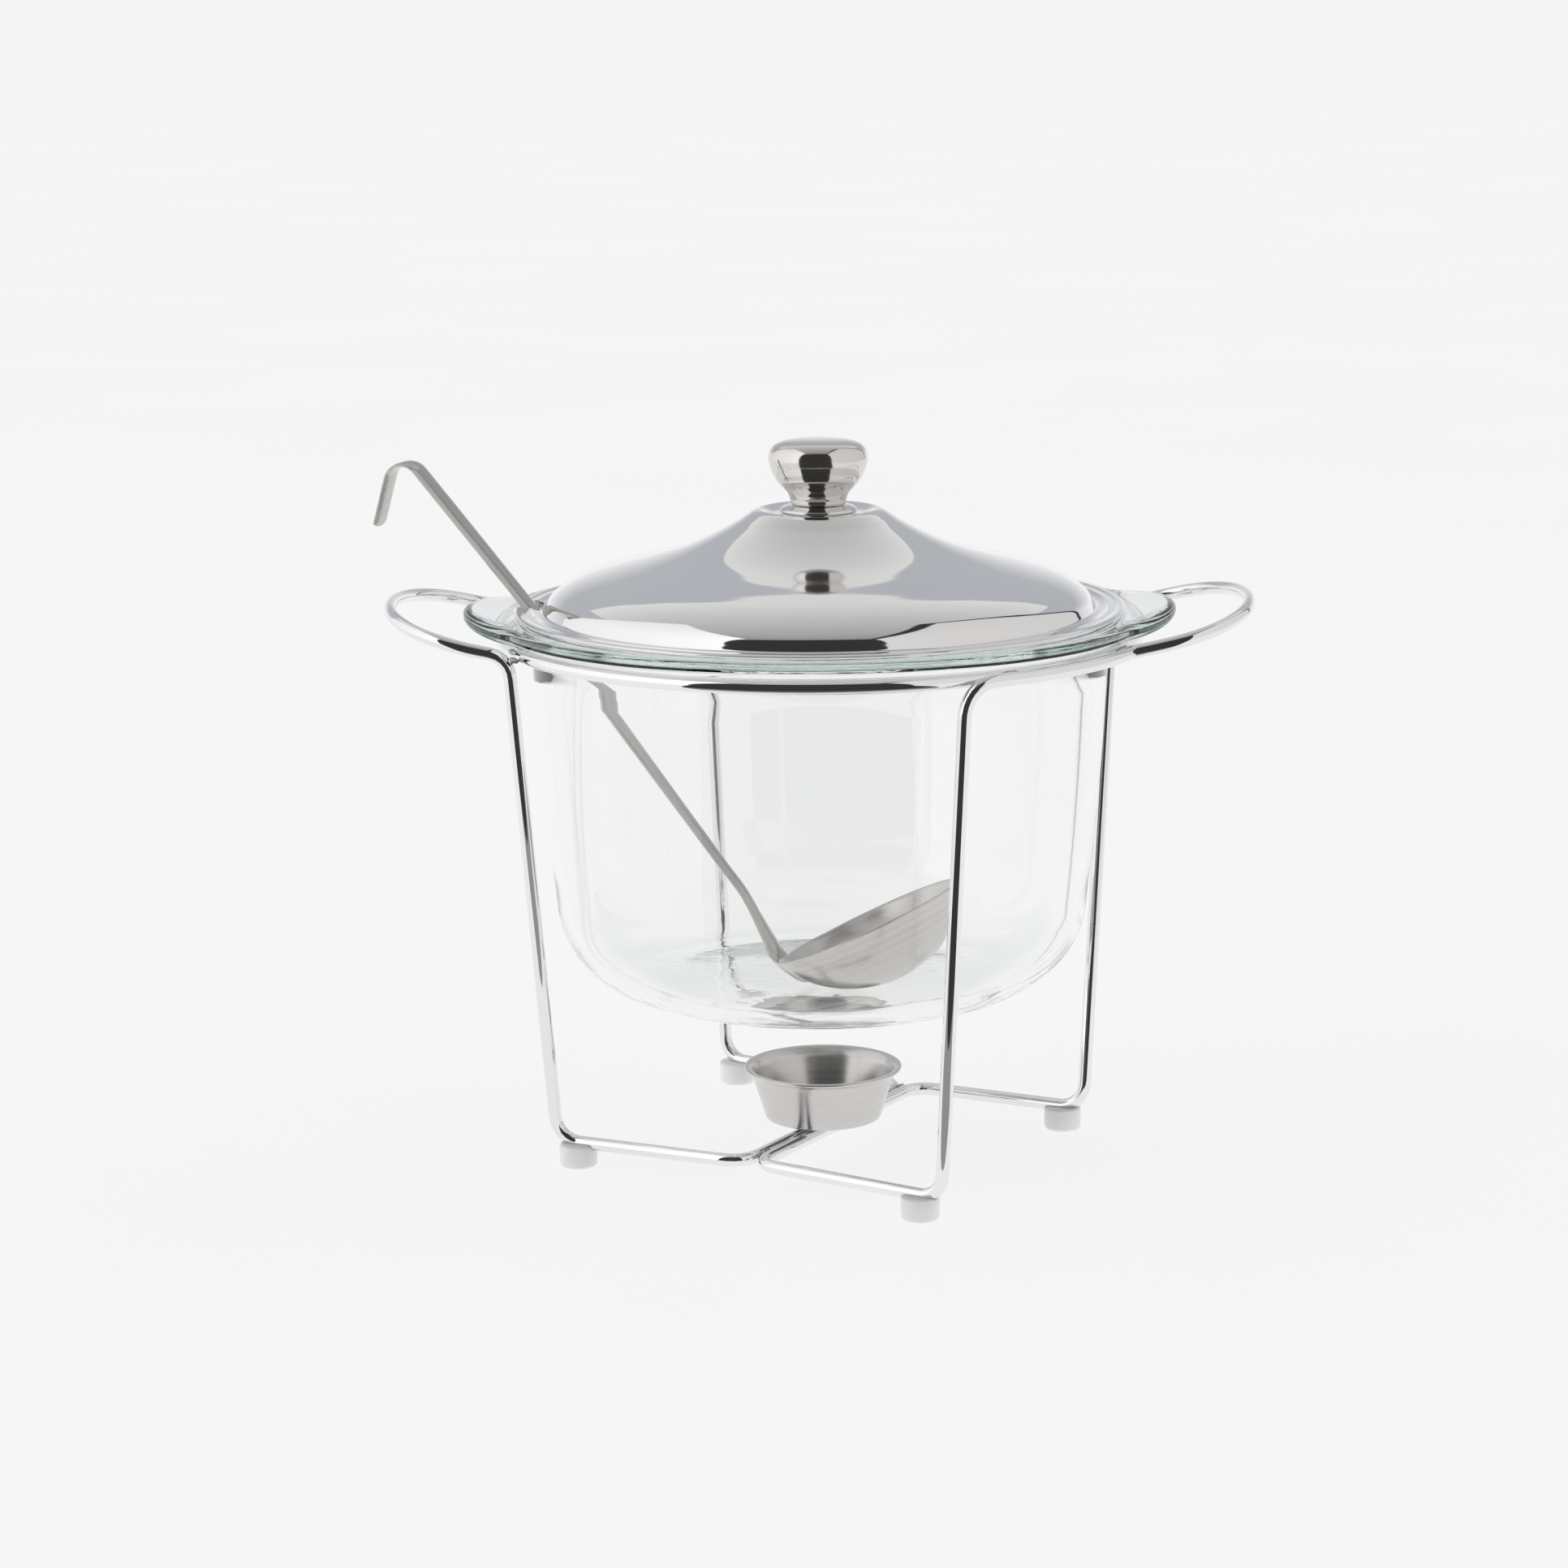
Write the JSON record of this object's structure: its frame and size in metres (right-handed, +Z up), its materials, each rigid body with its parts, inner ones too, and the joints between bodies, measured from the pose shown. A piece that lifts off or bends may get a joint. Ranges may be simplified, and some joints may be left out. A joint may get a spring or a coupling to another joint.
{
  "type": "soup tureen",
  "caption": "Glass soup tureen with a domed steel lid and knob, on a bent-wire stand with a warmer cup, with a hooked ladle.",
  "frame": {"origin": "on the surface the feet stand on, at the middle of the whole object's length and width, ladle and handles included; the common upright axis of the ring, the pot, the lid and the knob stands 3.6 mm to +X of it, because the ladle's hook reaches out further than the handles", "axes": "+Z up, the handles point along +X and -X, and -Y is the front"},
  "size_m": [0.3216, 0.236, 0.2639],
  "materials": {
    "wire_steel": "bright",
    "lid_steel": "mirror polished",
    "knob_steel": "mirror polished",
    "cup_steel": "satin",
    "ladle_steel": "satin",
    "screw_steel": "plain",
    "glass": "clear, polished",
    "foot_plastic": "translucent matt"
  },
  "bodies": {
    "stand": {"support_ring": "wire_steel", "wire_right": "wire_steel", "wire_left": "wire_steel", "foot_front_right": "foot_plastic", "foot_back_right": "foot_plastic", "foot_back_left": "foot_plastic", "foot_front_left": "foot_plastic", "warmer_cup": "cup_steel"},
    "pot": {"glass_pot": "glass"},
    "lid": {"lid_shell": "lid_steel", "knob_collar": "knob_steel", "knob": "knob_steel", "knob_washer": "screw_steel", "knob_screw": "screw_steel"},
    "ladle": {"ladle_bowl": "ladle_steel", "ladle_handle": "ladle_steel"}
  },
  "joints": [
    {"name": "pot_lift", "type": "slide", "parent": "stand", "child": "pot", "axis": [0, 0, 1], "range_m": [0, 0.16]},
    {"name": "lid_lift", "type": "slide", "parent": "pot", "child": "lid", "axis": [0, 0, 1], "range_m": [0, 0.08]},
    {"name": "ladle_lift", "type": "slide", "parent": "pot", "child": "ladle", "axis": [-0.5988, 0.1953, 0.7767], "range_m": [0, 0.06]}
  ]
}
